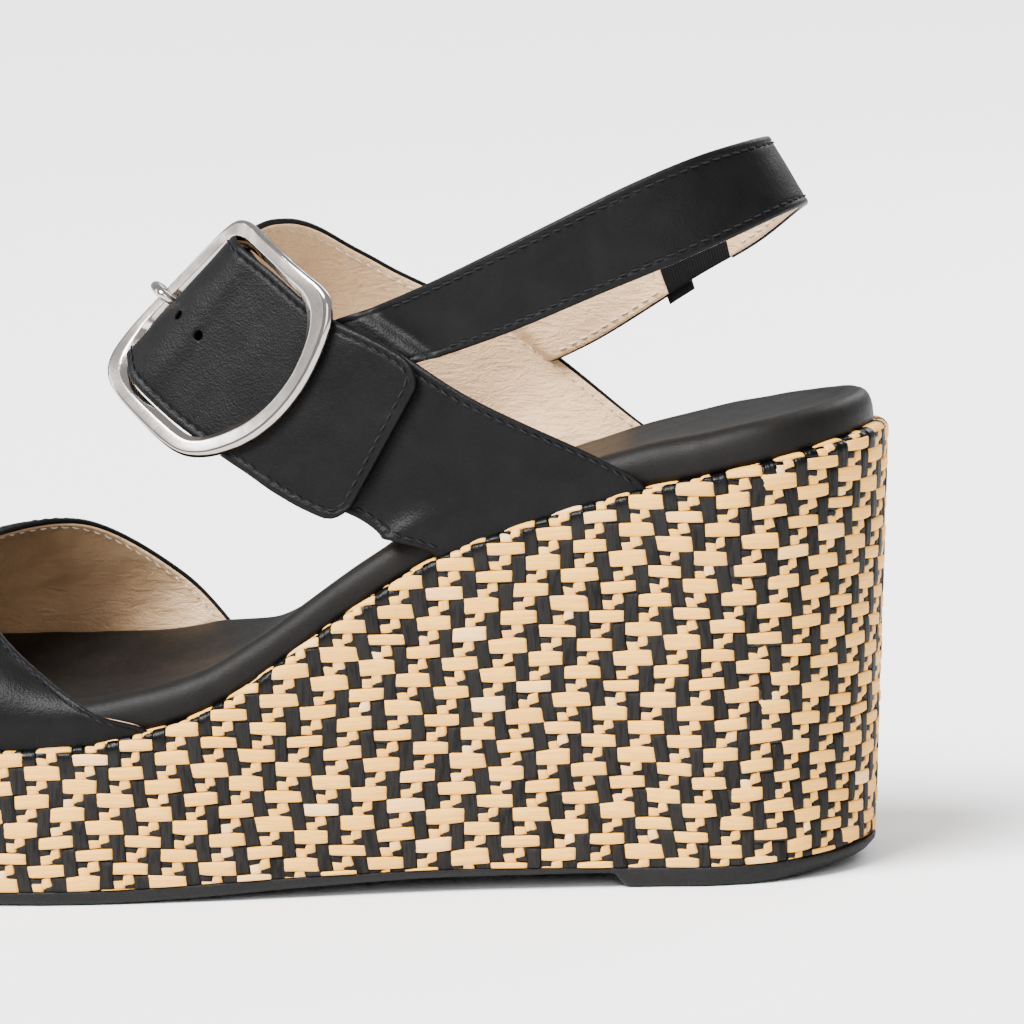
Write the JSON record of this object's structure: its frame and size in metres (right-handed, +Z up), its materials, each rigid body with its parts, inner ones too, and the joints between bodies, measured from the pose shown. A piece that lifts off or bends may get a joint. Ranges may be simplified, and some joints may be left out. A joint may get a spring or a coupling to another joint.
{
  "type": "wedge sandal",
  "caption": "Left wedge sandal with a woven-wrapped platform wedge, peep-toe vamp, wide buckled instep band and a slingback with an elastic insert.",
  "frame": {"origin": "centre of the bounding box in plan, on the floor plane", "axes": "+Z up, +X from toe to heel, +Y towards the inner (medial) side of the foot"},
  "size_m": [0.2377, 0.0855, 0.1456],
  "materials": {
    "sole_rubber": "matte moulded rubber",
    "wedge_foam": "rigid foam, hidden",
    "woven_strips": "interlaced tan and black paper-like strips",
    "insole_board": "raw fibre board, hidden",
    "footbed_foam": "soft foam, hidden",
    "footbed_leather": "smooth soft sheen",
    "black_leather": "fine grain, semi-matte",
    "beige_lining": "matte beige lining",
    "satin_nickel": "satin faces, polished edges",
    "ribbed_elastic": "black ribbed elastic"
  },
  "bodies": {
    "sandal": {"outsole": "sole_rubber", "wedge_core": "wedge_foam", "woven_wrap": "woven_strips", "insole_board": "insole_board", "footbed_foam": "footbed_foam", "footbed_cover": "footbed_leather", "vamp_outer": "black_leather", "vamp_lining": "beige_lining", "base_strap_outer": "black_leather", "base_strap_lining": "beige_lining", "long_strap_outer": "black_leather", "long_strap_lining": "beige_lining", "buckle_frame": "satin_nickel"},
    "prong": {"buckle_prong": "satin_nickel"},
    "strap_tip": {"strap_tip_outer": "black_leather", "strap_tip_lining": "beige_lining"},
    "heel_strap": {"slingback_outer": "black_leather", "slingback_lining": "beige_lining", "elastic_gore": "ribbed_elastic", "medial_tab_outer": "black_leather", "medial_tab_lining": "beige_lining"}
  },
  "joints": [
    {"name": "prong_pivot", "type": "hinge", "parent": "sandal", "child": "prong", "pos_m": [-0.01819, -0.00892, 0.11482], "axis": [0.7031, 0.045, 0.7097], "range_deg": [0, 8]},
    {"name": "strap_tip_lift", "type": "hinge", "parent": "sandal", "child": "strap_tip", "pos_m": [0.00826, -0.02724, 0.09771], "axis": [-0.5005, -0.0748, -0.8625], "range_deg": [0, 40]},
    {"name": "slingback_swing", "type": "hinge", "parent": "sandal", "child": "heel_strap", "pos_m": [0.0271, 0.00095, 0.104], "axis": [0.2316, 0.9581, -0.1685], "range_deg": [-8, 24]}
  ]
}
